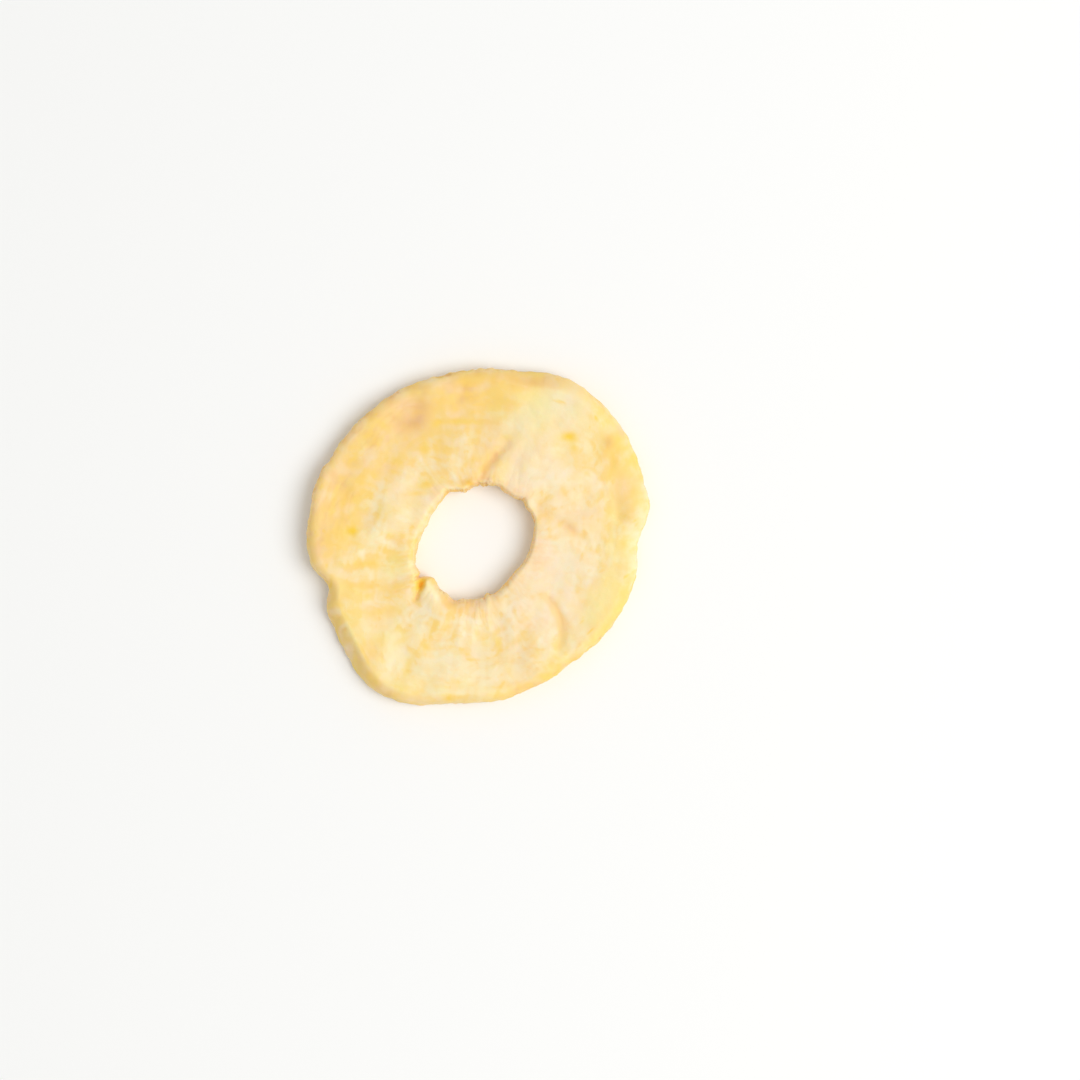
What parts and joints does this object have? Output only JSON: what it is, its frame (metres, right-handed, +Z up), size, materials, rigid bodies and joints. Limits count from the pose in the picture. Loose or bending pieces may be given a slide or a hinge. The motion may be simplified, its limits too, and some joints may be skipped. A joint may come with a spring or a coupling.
{
  "type": "dried apple ring",
  "caption": "Soft dried apple slice cored to a ring, with a rounded uneven rim, a hole a little off centre and light creases.",
  "frame": {"origin": "on the surface the ring lies on, under the middle of its outline", "axes": "+X to the right and +Y away from the viewer as pictured, +Z up through the hole, out of the upper face"},
  "size_m": [0.0584, 0.0572, 0.006],
  "materials": {
    "dried_apple": "soft matte dried fruit flesh, pale cream yellow with amber flecks"
  },
  "bodies": {
    "root": {"apple_ring": "dried_apple"}
  },
  "joints": []
}
